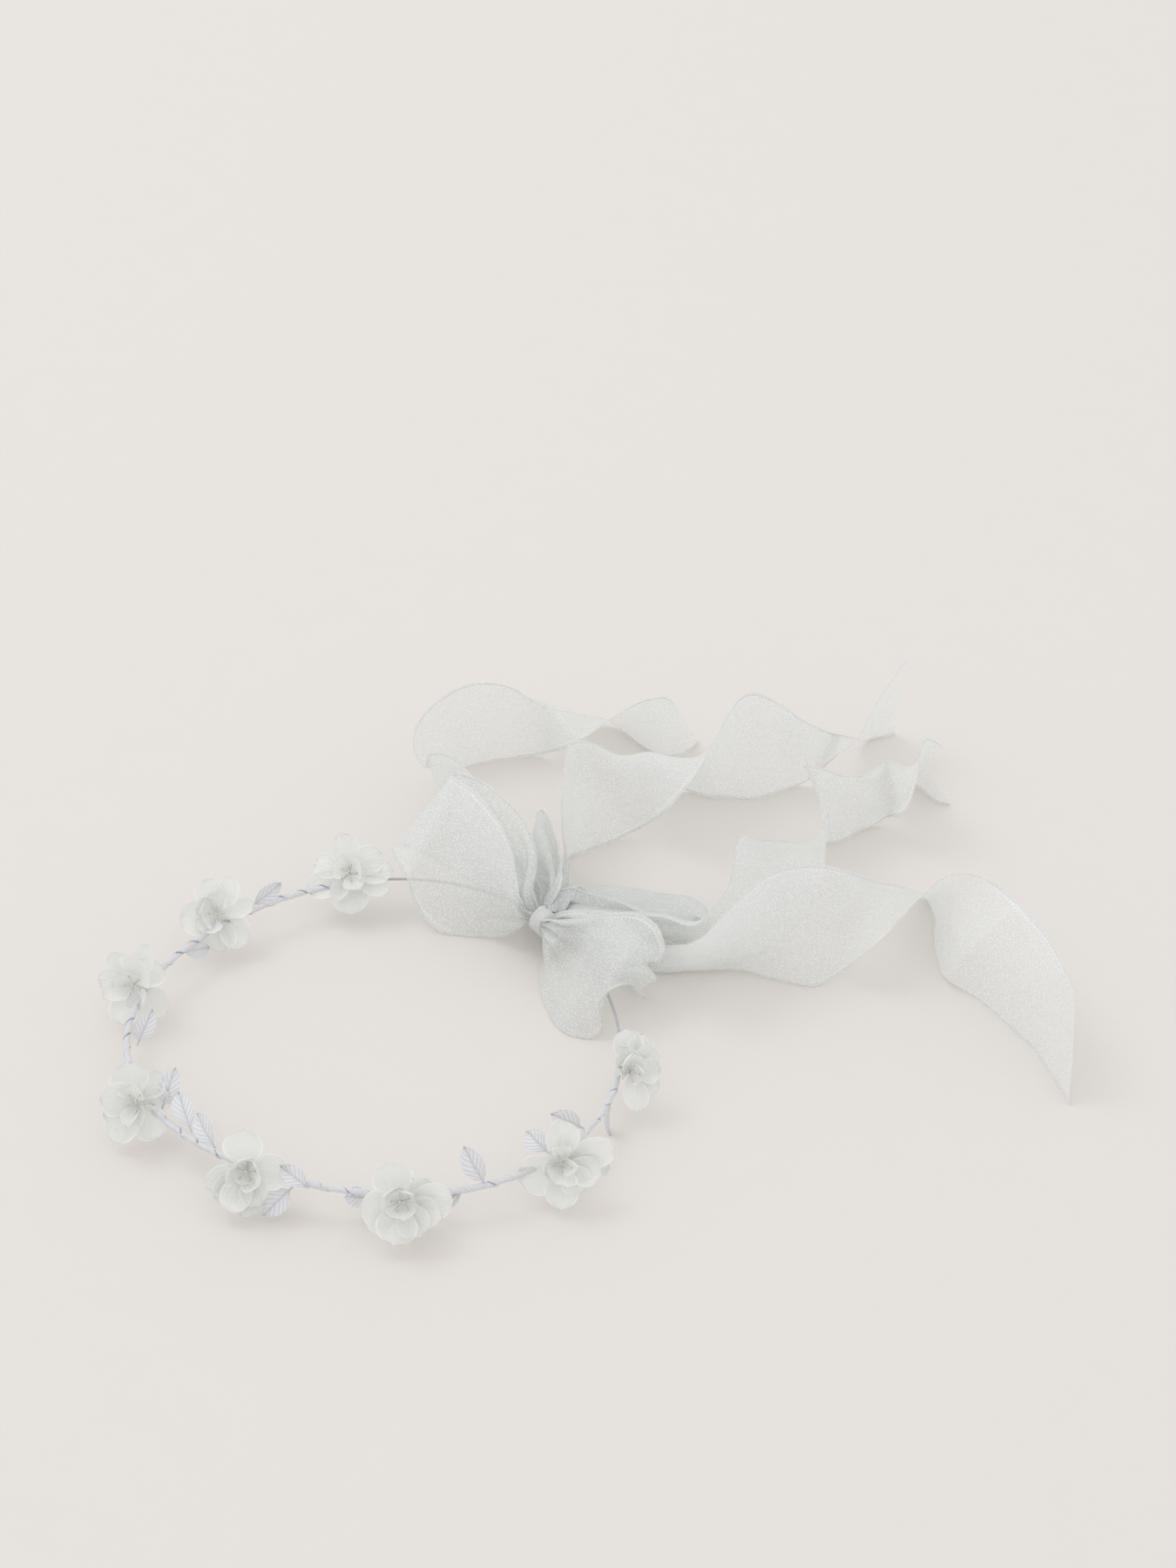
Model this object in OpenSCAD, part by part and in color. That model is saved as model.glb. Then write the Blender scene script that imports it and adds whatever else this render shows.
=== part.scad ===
// Flower crown for a child: a hand-bent wire hoop wrapped in paper tape, with eight cloth
// flowers and fifteen satin leaves on it, and a sheer ribbon bow with four loops and four
// long twisted tails tied round the wire at the back.
// Units are millimetres. The hoop lies level, +Z is up, and the crown rests on z = 0.
// +Y points to the bow at the back of the head and +X to the wearer's left.

/* [Hoop] */
// mean radius of the wire hoop
hoop_r = 79.5; // [70:0.5:95]
// height of the wire above the surface that the flowers rest on
hoop_z = 11.5; // [8:0.5:16]
// diameter of the bare wire
wire_d = 0.9; // [0.6:0.1:1.6]
// outside diameter of the paper tape over the wire
tape_d = 2.2; // [1.6:0.1:3]
// where the tape starts, in degrees round the hoop
tape_from = 141; // [120:3:150]
// where the tape ends, after passing the front
tape_to = 402; // [380:3:420]

/* [Flowers] */
// length of an outer lobe from the flower's centre
outer_r = 13; // [10:0.5:16]
// length of an inner lobe
inner_r = 9.5; // [6:0.5:12]
// thickness of the flower cloth
petal_t = 0.5; // [0.3:0.1:1]
// diameter of a flower's stem wire
stem_d = 1; // [0.6:0.1:1.6]

/* [Leaves] */
// width of a leaf
leaf_w = 6; // [4:0.5:9]
// thickness of a leaf
leaf_t = 0.5; // [0.3:0.1:1]

/* [Ribbon] */
// thickness of the ribbon
ribbon_t = 0.5; // [0.3:0.1:1]
// width of the satin wrap round the knot
knot_w = 8; // [5:0.5:12]
// turn of the ribbons' layout about the hoop's axis
lay_turn = 43; // [0:1:90]

/* [Hidden] */

ivory = [0.86, 0.87, 0.86];
satin = [0.92, 0.93, 0.94];
sheer = [0.89, 0.91, 0.89];
steel = [0.62, 0.62, 0.63];
step_a = 3;      // degrees between rings of the hoop
sides = 6;       // sides of the swept wire and tape
lobe_n = 6;      // points round one flower lobe
lobe_rings = 3;  // rings from a flower's centre to its rim

// the hoop is bent by hand, so its radius wanders by two or three millimetres
function hoop_rad(a) = hoop_r + 0.9 * cos(a + 133) + 1.7 * cos(2 * a) + 2.6 * cos(3 * a + 18);
function hoop_pt(a) = [hoop_rad(a) * cos(a), hoop_rad(a) * sin(a), hoop_z];

// Each flower: angle on the hoop, centre's distance outside the wire, its height above the
// wire, the turn of its face from straight out, how far it looks up, its spin, outer lobes,
// outer rise, the swing of that rise from side to side, inner lobes, inner rise, size.
FLOWERS = [
    [143.5, 1.0, 4.2, 18, 60, 20, 5, 14, 12, 4, 58, 0.96],
    [178, 3.8, 1.5, 10, 40, 40, 5, 18, 12, 4, 56, 0.95],
    [208.5, 4.5, 1.5, -6, 30, 10, 5, 16, 14, 4, 60, 1],
    [249, 3.5, 2.5, 4, 38, 54, 5, 16, 12, 4, 64, 1],
    [284, 4.0, 2.0, 0, 42, 30, 5, 14, 12, 4, 60, 1],
    [319.5, 6.5, 1.5, -8, 34, 12, 5, 14, 12, 4, 62, 1],
    [354.5, 6.0, 2.5, -22, 40, 66, 5, 16, 12, 4, 62, 1],
    [26.5, 4.0, 2.5, -30, 36, 36, 4, 30, 10, 4, 60, 0.9]
];

// Each leaf: the point where it leaves the tape, its tip, and the roll of its blade.
LEAVES = [
    [[-52, -62, 14], [-54, -51, 20], 60],
    [[-23, -76, 14], [-26, -66, 21], 50],
    [[-8, -76, 14], [-20, -70, 17], 10],
    [[3, -75, 14], [-7, -72, 18], -20],
    [[34, -69, 9], [30, -79, 3], 20],
    [[55, -56, 9], [45, -60, 7], 0],
    [[73, -36, 8.5], [65, -43, 4.5], 0],
    [[76, -32, 14], [67, -30, 20], -40],
    [[80, -7, 14], [70, -5, 14], 20],
    [[80, 8, 14], [73, 3, 18], 0],
    [[77, 26, 8.5], [80, 23, 1], 80],
    [[-79, 15, 14], [-77, 27, 17], 20],
    [[-79, -17, 8.5], [-79, -5, 5.5], 0],
    [[38, -67, 14], [28, -70, 17], 0],
    [[66, -46, 14], [59, -52, 18], 20]
];

// Ribbon edges, as pairs of points in the ribbons' own layout. Each row is one crosswise line
// of the ribbon, from its first edge to its second. A third point, where given, is where the
// middle of that line bulges to.
TAIL_1 = [
    [[51, 72, 15], [51, 73, 9]], [[45, 83, 20], [45, 86, 6]], [[34, 100, 28], [36, 103, 3]],
    [[22, 118, 34], [26, 124, 0]], [[12, 126, 32], [14, 142, 0]], [[9, 132, 22], [17, 158, 0]],
    [[5, 138, 26], [24, 163, 0]], [[6, 149, 29], [32, 166, 0]], [[14, 160, 32], [38, 167, 0]],
    [[26, 165, 35], [45, 169, 0]], [[39, 168, 31], [52, 167, 3]],
    [[49, 175, 18], [59, 155, 14], [54, 166, 24]],
    [[60, 184, 9], [67, 150, 23]], [[75, 193, 3], [76, 157, 26]], [[86, 185, 0], [84, 158, 31]],
    [[93, 179, 0], [90, 157, 34]], [[102, 180, 0], [94, 159, 33]], [[108, 186, 0], [97, 157, 32]]
];
TAIL_2 = [
    [[58, 76, 8], [58, 74, 16]], [[60, 90, 3], [59, 84, 20]], [[60, 107, 0], [58, 91, 22]],
    [[64, 110, 0], [58, 100, 34]], [[71, 114, 0], [59, 119, 38]], [[79, 119, 1], [63, 124, 39]],
    [[87, 119, 6], [71, 130, 32], [80, 123, 23]],
    [[94, 114, 16], [82, 139, 17], [88, 130, 28]],
    [[100, 112, 26], [91, 145, 8], [95, 131, 27]],
    [[107, 119, 34], [102, 147, 1], [104, 135, 23]], [[114, 136, 38], [110, 144, 0]],
    [[120, 148, 40], [117, 143, 0]], [[126, 153, 39], [125, 142, 0]],
    [[134, 148, 38], [133, 145, 0]], [[142, 139, 37], [141, 150, 0]],
    [[151, 145, 28], [148, 149, 6], [150, 150, 22]],
    [[159, 165, 12], [154, 138, 22], [156, 153, 24]],
    [[166, 176, 2], [161, 139, 28]], [[171, 180, 0], [167, 151, 33]],
    [[175, 181, 0], [173, 160, 37]], [[179, 183, 0], [181, 173, 40]]
];
TAIL_3 = [
    [[62, 60, 15], [62, 61, 8]], [[75, 56, 16], [75, 59, 1]], [[90, 49, 20], [90, 54, 0]],
    [[102, 44, 20], [105, 52, 0]], [[110, 47, 28], [114, 49, 0]], [[114, 51, 34], [123, 53, 0]],
    [[116, 60, 40], [133, 60, 2]], [[118, 68, 40], [141, 66, 8]], [[123, 77, 32], [146, 69, 18]],
    [[131, 92, 20], [147, 77, 26]], [[139, 106, 8], [147, 93, 32]],
    [[148, 115, 0], [144, 106, 37]], [[155, 117, 0], [141, 109, 39]],
    [[160, 121, 0], [147, 110, 37]], [[167, 126, 0], [155, 113, 32]],
    [[172, 125, 5], [164, 122, 26], [168, 127, 22]], [[177, 118, 18], [174, 144, 12], [175, 134, 26]],
    [[181, 119, 28], [182, 152, 2], [181, 138, 24]],
    [[182, 123, 35], [187, 147, 0], [185, 137, 21]],
    [[185, 128, 37], [191, 141, 0]], [[190, 125, 36], [196, 139, 0]]
];
TAIL_4 = [
    [[62, 56, 15], [62, 57, 8]], [[74, 49, 13], [74, 51, 3]], [[87, 41, 14], [88, 45, 0]],
    [[102, 21, 32], [103, 45, 0]], [[114, 32, 38], [117, 45, 0]], [[126, 46, 40], [129, 40, 0]],
    [[139, 54, 38], [141, 36, 0]], [[151, 57, 34], [151, 40, 3]], [[166, 73, 16], [163, 37, 19]],
    [[181, 85, 2], [178, 54, 25]], [[185, 75, 0], [188, 54, 34]], [[184, 59, 0], [198, 48, 37]],
    [[186, 42, 0], [207, 40, 35]], [[196, 30, 0], [216, 22, 34]], [[206, 15, 0], [220, 5, 34]],
    [[214, 0, 0], [222, -5, 34]], [[221, -24, 0], [222, -11, 34]]
];
LOOP_LEFT = [
    [[45, 58, 17], [45, 57, 11]], [[43, 54, 29], [42, 59, 5]], [[42, 61, 36], [33, 62, 0]],
    [[38, 71, 41], [24, 63, 0]], [[33, 80, 43], [16, 65, 1]], [[29, 86, 44], [10, 69, 5]],
    [[26, 90, 44], [7, 70, 12]], [[22, 94, 44], [5, 71, 20]], [[20, 98, 43], [0, 83, 22]],
    [[24, 100, 42], [6, 91, 17]], [[32, 98, 39], [19, 90, 9]], [[41, 91, 35], [31, 83, 5]],
    [[46, 85, 30], [39, 75, 7]], [[48, 75, 25], [44, 68, 11]], [[46, 63, 20], [46, 64, 15]]
];
LOOP_LEFT_BACK = [
    [[55, 67, 18], [55, 68, 12]], [[54, 76, 27], [53, 77, 9]], [[51, 83, 31], [50, 88, 4]],
    [[49, 90, 32], [49, 94, 2]], [[51, 93, 32], [51, 96, 2]], [[54, 88, 31], [54, 92, 3]],
    [[56, 81, 27], [56, 82, 7]], [[57, 70, 21], [57, 71, 13]]
];
LOOP_RIGHT = [
    [[53, 50, 18], [53, 49, 11]], [[59, 42, 24], [51, 40, 8]], [[69, 41, 27], [51, 31, 2]],
    [[77, 41, 28], [54, 20, 0], [65, 28, 16]], [[84, 40, 28], [59, 12, 0], [69, 24, 18]],
    [[89, 36, 27], [66, 9, 0], [73, 20, 19]], [[91, 33, 25], [71, 10, 4], [75, 18, 20]],
    [[92, 30, 22], [70, 13, 12], [77, 18, 21]], [[91, 28, 20], [74, 14, 17], [80, 19, 21]],
    [[90, 28, 18], [81, 19, 15], [84, 22, 18]], [[89, 29, 18], [86, 24, 6]],
    [[86, 33, 21], [85, 29, 2]], [[75, 44, 24], [76, 43, 1]], [[67, 50, 21], [68, 50, 4]],
    [[60, 54, 18], [60, 55, 13]]
];
LOOP_RIGHT_BACK = [
    [[60, 64, 18], [60, 65, 12]], [[66, 62, 19], [66, 64, 4]], [[77, 59, 18], [77, 64, 1]],
    [[86, 57, 16], [87, 63, 1], [87, 62, 9]], [[95, 57, 13], [96, 63, 1], [97, 62, 8]],
    [[102, 58, 8], [102, 64, 2], [105, 63, 7]], [[99, 60, 9], [98, 67, 1], [100, 72, 10]],
    [[88, 63, 14], [86, 69, 2], [87, 78, 14]], [[70, 68, 17], [70, 71, 5], [71, 80, 15]],
    [[61, 70, 18], [61, 71, 12]]
];

function unit(v) = v / norm(v);
function flat(l) = [for (a = l) for (b = a) b];

// smooth curve through a list of rows, each a list of points
function blend3(p0, p1, p2, p3, f) =
    0.5 * (2 * p1 + (p2 - p0) * f + (2 * p0 - 5 * p1 + 4 * p2 - p3) * f * f
    + (3 * p1 - p0 - 3 * p2 + p3) * f * f * f);
function edge_at(rows, k, t) =
    let(
        i = min(floor(t), len(rows) - 2), f = t - i,
        p = blend3(
            i > 0 ? rows[i - 1][k] : 2 * rows[i][k] - rows[i + 1][k], rows[i][k],
            rows[i + 1][k],
            i + 2 < len(rows) ? rows[i + 2][k] : 2 * rows[i + 1][k] - rows[i][k], f
        )
    )
    [p[0], p[1], max(p[2], ribbon_t / 2 + 0.05)];

// a closed strip through rows of edge pairs, two panels wide
module strip(rows, rings, t) {
    pts = [
        for (j = [0:rings])
        let(
            u = j / rings * (len(rows) - 1), a = edge_at(rows, 0, u), b = edge_at(rows, 1, u),
            du = 0.02, u0 = max(u - du, 0), u1 = min(u + du, len(rows) - 1),
            way = edge_at(rows, 0, u1) + edge_at(rows, 1, u1) - edge_at(rows, 0, u0)
                - edge_at(rows, 1, u0),
            n = unit(cross(way, b - a)) * t / 2, m = edge_at(rows, 2, u)
        )
        [a + n, m + n, b + n, b - n, m - n, a - n]
    ];
    skin(pts, false);
}

// joins rings of points into one closed solid; closed = true joins the last to the first
// a strip's two faces are split along the same diagonals, so they stay apart where it twists
module skin(rings, closed) {
    n = len(rings);
    k = len(rings[0]);
    last = closed ? n - 1 : n - 2;
    walls = [
        for (j = [0:last]) for (i = [0:k - 1])
        let(a = j * k + i, b = j * k + (i + 1) % k, c = ((j + 1) % n) * k + (i + 1) % k,
            d = ((j + 1) % n) * k + i)
        each k == 6 && (i == 3 || i == 4) ? [[a, b, d], [b, c, d]] : [[a, b, c], [a, c, d]]
    ];
    caps = closed ? [] : concat(
        k == 6 ? [[5, 4, 1], [5, 1, 0], [4, 3, 2], [4, 2, 1]]
            : [for (i = [1:k - 2]) [0, i + 1, i]],
        k == 6 ? [
            for (f = [[0, 1, 4], [0, 4, 5], [1, 2, 3], [1, 3, 4]])
            [for (i = f) (n - 1) * k + i]
        ] : [for (i = [1:k - 2]) [(n - 1) * k, (n - 1) * k + i, (n - 1) * k + i + 1]]
    );
    polyhedron(flat(rings), concat(walls, caps), convexity = 10);
}

// a ring of points of radius r round point p of the hoop, at angle a
function hoop_ring(a, r) = [
    for (i = [0:sides - 1])
    hoop_pt(a) + r * cos(360 * i / sides) * [cos(a), sin(a), 0]
        + r * sin(360 * i / sides) * [0, 0, 1]
];

module hoop_wire() {
    color(steel)
    skin([for (a = [0:step_a:359]) hoop_ring(a, wire_d / 2)], true);
}

// the tape is a sleeve: an outer skin, an inner skin and two ring ends
module stem_tape() {
    n = (tape_to - tape_from) / step_a;
    pts = [
        for (j = [0:n]) let(a = tape_from + j * step_a)
        concat(hoop_ring(a, tape_d / 2), hoop_ring(a, wire_d / 2 + 0.1))
    ];
    k = 2 * sides;
    faces = concat(
        [
            for (j = [0:n - 1]) for (i = [0:sides - 1])
            let(i2 = (i + 1) % sides, o = j * k, p = (j + 1) * k)
            each [
                [o + i, o + i2, p + i2], [o + i, p + i2, p + i],
                [o + sides + i, p + sides + i2, o + sides + i2],
                [o + sides + i, p + sides + i, p + sides + i2]
            ]
        ],
        [
            for (i = [0:sides - 1]) let(i2 = (i + 1) % sides, q = n * k)
            each [
                [i, sides + i2, i2], [i, sides + i, sides + i2],
                [q + i, q + i2, q + sides + i2], [q + i, q + sides + i2, q + sides + i]
            ]
        ]
    );
    color(satin)
    polyhedron(flat(pts), faces, convexity = 10);
}

// moves children to flower k's centre, with +Z along the way that the flower looks
module at_flower(k) {
    f = FLOWERS[k];
    r = hoop_rad(f[0]) + f[1];
    translate([r * cos(f[0]), r * sin(f[0]), hoop_z + f[2]])
    rotate([0, 90 - f[4], f[0] + f[3]])
    rotate([0, 0, f[5]])
    children();
}

// rim of a lobed disc of length r, at angle a, with n round lobes
function lobe_r(a, n, r) =
    let(p = ((a * n / 360) - floor(a * n / 360) - 0.5) * 360 / n, d = 0.6 * r, q = 0.4 * r,
        s = d * sin(p))
    abs(s) < q ? d * cos(p) + sqrt(q * q - s * s) : d * cos(p);

// a cupped, lobed disc with a centre hole: rise and swing set the lobes' tilt
module floret(n, r, rise, swing, lift) {
    m = n * lobe_n;
    hole = stem_d / 2 + 0.9;
    pts = [
        for (j = [0:m - 1]) let(a = 360 * j / m, rim = lobe_r(a + 0.01, n, r))
        [
            for (s = [1, -1]) for (i = [0:lobe_rings])
            let(
                q = i / lobe_rings, l = hole + (rim - hole) * q,
                tilt = rise * (0.75 + 0.5 * l / r) + swing * cos(a)
            )
            [
                (l * cos(tilt) - s * sin(tilt) * petal_t / 2) * cos(a),
                (l * cos(tilt) - s * sin(tilt) * petal_t / 2) * sin(a),
                lift + l * sin(tilt) + s * cos(tilt) * petal_t / 2
            ]
        ]
    ];
    k = 2 * (lobe_rings + 1);
    h = lobe_rings + 1;
    faces = [
        for (j = [0:m - 1]) let(o = j * k, p = ((j + 1) % m) * k)
        each concat(
            [
                for (i = [0:lobe_rings - 1])
                each [
                    [o + i, p + i + 1, o + i + 1], [o + i, p + i, p + i + 1],
                    [o + h + i, o + h + i + 1, p + h + i + 1], [o + h + i, p + h + i + 1, p + h + i]
                ]
            ],
            [
                [o, o + h, p + h], [o, p + h, p],
                [o + h - 1, p + h - 1, p + k - 1], [o + h - 1, p + k - 1, o + k - 1]
            ]
        )
    ];
    polyhedron(flat(pts), faces, convexity = 10);
}

module flower_outer(k) {
    f = FLOWERS[k];
    color(ivory)
    at_flower(k)
    floret(f[6], outer_r * f[11], f[7], f[8], 0);
}

module flower_inner(k) {
    f = FLOWERS[k];
    color(ivory)
    at_flower(k)
    floret(f[9], inner_r * f[11], f[10], 3, 2.2);
}

// the stem wire leaves the tape, runs through both florets and ends in a small stamen head
module flower_stem(k) {
    f = FLOWERS[k];
    look = [cos(f[4]) * cos(f[3]), cos(f[4]) * sin(f[3]), sin(f[4])];
    bend = [f[1], 0, f[2]] - 1.7 * look;
    foot = unit(bend) * (tape_d / 2 + 0.1);
    reach = norm(bend - foot);
    color(satin) {
        at_flower(k) {
            translate([0, 0, -1.7])
            cylinder(d = stem_d, h = 6, $fn = 24);
            translate([0, 0, 4.4])
            sphere(d = 1.5, $fn = 24);
            translate([0, 0, -1.7])
            sphere(d = stem_d + 0.3, $fn = 24);
        }
        translate(hoop_pt(f[0]))
        rotate([0, 0, f[0]])
        translate(foot)
        rotate([0, acos(unit(bend)[2]), atan2(bend[1], bend[0])])
        cylinder(d = stem_d, h = reach, $fn = 24);
    }
}

// a pointed oval blade with a folded midrib and a short stalk at its base
module leaf(k) {
    base = LEAVES[k][0];
    tip = LEAVES[k][1];
    way = unit(tip - base);
    side0 = unit(cross([0, 0, 1], way));
    up0 = cross(way, side0);
    roll = LEAVES[k][2];
    side = side0 * cos(roll) + up0 * sin(roll);
    up = up0 * cos(roll) - side0 * sin(roll);
    len_l = norm(tip - base);
    n = 9;
    pts = [
        for (j = [0:n])
        let(
            u = j / n,
            w = 0.35 + max(0, (leaf_w / 2 - 0.35)) * pow(max(0, sin(180 * min(1, 0.04 + 0.96 * u))), 0.8)
                * (u < 0.12 ? u / 0.12 : 1),
            c = base + way * len_l * u + up * 1.2 * sin(180 * u), v = up * w * 0.25,
            h = up * leaf_t / 2
        )
        [c - side * w + v + h, c + h, c + side * w + v + h, c + side * w + v - h, c - h,
            c - side * w + v - h]
    ];
    color(satin)
    skin(pts, false);
}

// the satin wrap is a short oval band round the gathered ribbons and the wire
knot_way = atan2(7.9, -78) + 180;
module bow_knot() {
    n = 28;
    prof = [[1, 0], [0.9, 0.75], [0.5, 1], [-0.5, 1], [-0.9, 0.75], [-1, 0], [-0.9, -0.35],
        [0.9, -0.35]];
    color(satin)
    translate([-0.2, 75.4, 12.8])
    rotate([0, 0, knot_way])
    skin([
        for (j = [0:n - 1]) let(a = -360 * j / n)
        [
            for (p = prof)
            [p[0] * knot_w / 2, (4.7 + p[1]) * cos(a), (5.4 + p[1]) * sin(a)]
        ]
    ], true);
}

module ribbon(rows, rings) {
    color(sheer)
    rotate([0, 0, lay_turn])
    strip([for (r = rows) [r[0], r[1], len(r) > 2 ? r[2] : (r[0] + r[1]) / 2]], rings, ribbon_t);
}

hoop_wire();
stem_tape();
flower_outer(0);  // flower_1_outer
flower_inner(0);  // flower_1_inner
flower_stem(0);  // flower_1_stem
flower_outer(1);  // flower_2_outer
flower_inner(1);  // flower_2_inner
flower_stem(1);  // flower_2_stem
flower_outer(2);  // flower_3_outer
flower_inner(2);  // flower_3_inner
flower_stem(2);  // flower_3_stem
flower_outer(3);  // flower_4_outer
flower_inner(3);  // flower_4_inner
flower_stem(3);  // flower_4_stem
flower_outer(4);  // flower_5_outer
flower_inner(4);  // flower_5_inner
flower_stem(4);  // flower_5_stem
flower_outer(5);  // flower_6_outer
flower_inner(5);  // flower_6_inner
flower_stem(5);  // flower_6_stem
flower_outer(6);  // flower_7_outer
flower_inner(6);  // flower_7_inner
flower_stem(6);  // flower_7_stem
flower_outer(7);  // flower_8_outer
flower_inner(7);  // flower_8_inner
flower_stem(7);  // flower_8_stem
leaf(0);  // leaf_1
leaf(1);  // leaf_2
leaf(2);  // leaf_3
leaf(3);  // leaf_4
leaf(4);  // leaf_5
leaf(5);  // leaf_6
leaf(6);  // leaf_7
leaf(7);  // leaf_8
leaf(8);  // leaf_9
leaf(9);  // leaf_10
leaf(10);  // leaf_11
leaf(11);  // leaf_12
leaf(12);  // leaf_13
leaf(13);  // leaf_14
leaf(14);  // leaf_15
bow_knot();
ribbon(LOOP_LEFT, 42);  // bow_loop_left
ribbon(LOOP_LEFT_BACK, 42);  // bow_loop_left_back
ribbon(LOOP_RIGHT, 42);  // bow_loop_right
ribbon(LOOP_RIGHT_BACK, 42);  // bow_loop_right_back
ribbon(TAIL_1, 60);  // ribbon_tail_1
ribbon(TAIL_2, 60);  // ribbon_tail_2
ribbon(TAIL_3, 60);  // ribbon_tail_3
ribbon(TAIL_4, 60);  // ribbon_tail_4
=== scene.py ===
import math

import bpy
import numpy as np
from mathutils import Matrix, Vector, noise


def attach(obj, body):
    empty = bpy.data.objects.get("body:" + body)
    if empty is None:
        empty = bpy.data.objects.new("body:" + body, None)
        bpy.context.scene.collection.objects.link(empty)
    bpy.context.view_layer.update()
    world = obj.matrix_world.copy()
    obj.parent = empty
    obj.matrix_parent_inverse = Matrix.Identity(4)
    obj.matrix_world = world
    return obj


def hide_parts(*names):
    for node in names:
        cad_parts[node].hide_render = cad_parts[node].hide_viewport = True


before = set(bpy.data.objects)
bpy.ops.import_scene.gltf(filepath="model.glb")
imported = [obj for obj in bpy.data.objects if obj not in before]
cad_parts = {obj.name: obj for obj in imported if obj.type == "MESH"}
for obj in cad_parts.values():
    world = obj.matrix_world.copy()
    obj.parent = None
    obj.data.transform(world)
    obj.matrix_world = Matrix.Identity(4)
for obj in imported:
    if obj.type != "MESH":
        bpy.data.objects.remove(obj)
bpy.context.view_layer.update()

MM = 0.001
TURN = math.radians(43)  # the ribbons' layout is turned by this much about the hoop's axis
LAY = np.array([[math.cos(TURN), -math.sin(TURN), 0], [math.sin(TURN), math.cos(TURN), 0], [0, 0, 1]])
# a frame leaning back by 54 degrees, in which the petals' directions are given
LEAN = np.array([[1, 0, 0], [0, 0.588, 0.809], [0, -0.809, 0.588]])
FRONT = LAY @ LEAN[2]

# ---------------------------------------------------------------- camera, light and floor
cam = bpy.data.objects.new("camera", bpy.data.cameras.new("camera"))
bpy.context.collection.objects.link(cam)
cam.location = (0.6795, -0.6310, 0.7824)
aim = Vector((-0.0549, 0.1565, 0.0)) - cam.location
cam.rotation_euler = aim.to_track_quat("-Z", "Y").to_euler()
cam.data.lens = 85
cam.data.sensor_width = 36
cam.data.clip_start = 0.05
cam.data.clip_end = 30
bpy.context.scene.camera = cam
bpy.context.scene.view_settings.view_transform = "Standard"

world = bpy.data.worlds.new("studio")
bpy.context.scene.world = world
world.use_nodes = True
world.node_tree.nodes["Background"].inputs["Color"].default_value = (0.995, 0.987, 1.0, 1)
world.node_tree.nodes["Background"].inputs["Strength"].default_value = 0.925


def area_light(name, lay_pos, size, power, colour):
    lamp = bpy.data.lights.new(name, "AREA")
    lamp.shape = "DISK"
    lamp.size = size
    lamp.energy = power
    lamp.color = colour
    o = bpy.data.objects.new(name, lamp)
    bpy.context.collection.objects.link(o)
    o.location = LAY @ np.array(lay_pos)
    o.rotation_euler = (Vector((0, 0.08, 0)) - o.location).to_track_quat("-Z", "Y").to_euler()
    return o


area_light("key", (-1.3, 0.9, 2.6), 1.6, 11, (0.93, 0.97, 1.0))


# ---------------------------------------------------------------- materials
class Mat:
    """A small helper that adds nodes to one material."""

    def __init__(self, name):
        self.mat = bpy.data.materials.new(name)
        self.mat.use_nodes = True
        self.tree = self.mat.node_tree
        self.tree.nodes.clear()
        self.out = self.add("ShaderNodeOutputMaterial")

    def add(self, kind, **values):
        n = self.tree.nodes.new(kind)
        for k, v in values.items():
            setattr(n, k, v)
        return n

    def link(self, a, b):
        self.tree.links.new(a, b)

    def put(self, socket, value):
        if isinstance(value, bpy.types.NodeSocket):
            self.link(value, socket)
        else:
            socket.default_value = value

    def math(self, op, a, b=0.0, c=0.0):
        n = self.add("ShaderNodeMath", operation=op)
        self.put(n.inputs[0], a)
        self.put(n.inputs[1], b)
        self.put(n.inputs[2], c)
        return n.outputs[0]

    def mix_colour(self, fac, a, b):
        n = self.add("ShaderNodeMix", data_type="RGBA")
        self.put(n.inputs[0], fac)
        self.put(n.inputs[6], a)
        self.put(n.inputs[7], b)
        return n.outputs[2]

    def noise(self, scale, detail=2.0, vector=None, rough=0.5):
        n = self.add("ShaderNodeTexNoise")
        n.inputs["Scale"].default_value = scale
        n.inputs["Detail"].default_value = detail
        n.inputs["Roughness"].default_value = rough
        if vector is None:
            vector = self.add("ShaderNodeTexCoord").outputs["Object"]
        self.link(vector, n.inputs["Vector"])
        return n.outputs["Fac"]

    def uv(self):
        n = self.add("ShaderNodeSeparateXYZ")
        self.link(self.add("ShaderNodeUVMap", uv_map="UVMap").outputs[0], n.inputs[0])
        return n.outputs[0], n.outputs[1]

    def bump(self, height, distance, strength=1.0, normal=None):
        n = self.add("ShaderNodeBump")
        n.inputs["Strength"].default_value = strength
        n.inputs["Distance"].default_value = distance
        self.put(n.inputs["Height"], height)
        if normal is not None:
            self.link(normal, n.inputs["Normal"])
        return n.outputs[0]

    def principled(self, colour, rough, normal=None, spec=0.4, sheen=0.0, metallic=0.0):
        n = self.add("ShaderNodeBsdfPrincipled")
        self.put(n.inputs["Base Color"], colour)
        self.put(n.inputs["Roughness"], rough)
        n.inputs["Specular IOR Level"].default_value = spec
        n.inputs["Sheen Weight"].default_value = sheen
        n.inputs["Metallic"].default_value = metallic
        if normal is not None:
            self.link(normal, n.inputs["Normal"])
        return n.outputs[0]

    def translucent(self, colour, normal=None):
        n = self.add("ShaderNodeBsdfTranslucent")
        self.put(n.inputs["Color"], colour)
        if normal is not None:
            self.link(normal, n.inputs["Normal"])
        return n.outputs[0]

    def mix(self, fac, a, b):
        n = self.add("ShaderNodeMixShader")
        self.put(n.inputs[0], fac)
        self.link(a, n.inputs[1])
        self.link(b, n.inputs[2])
        return n.outputs[0]

    def done(self, shader):
        self.link(shader, self.out.inputs["Surface"])
        return self.mat


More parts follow.
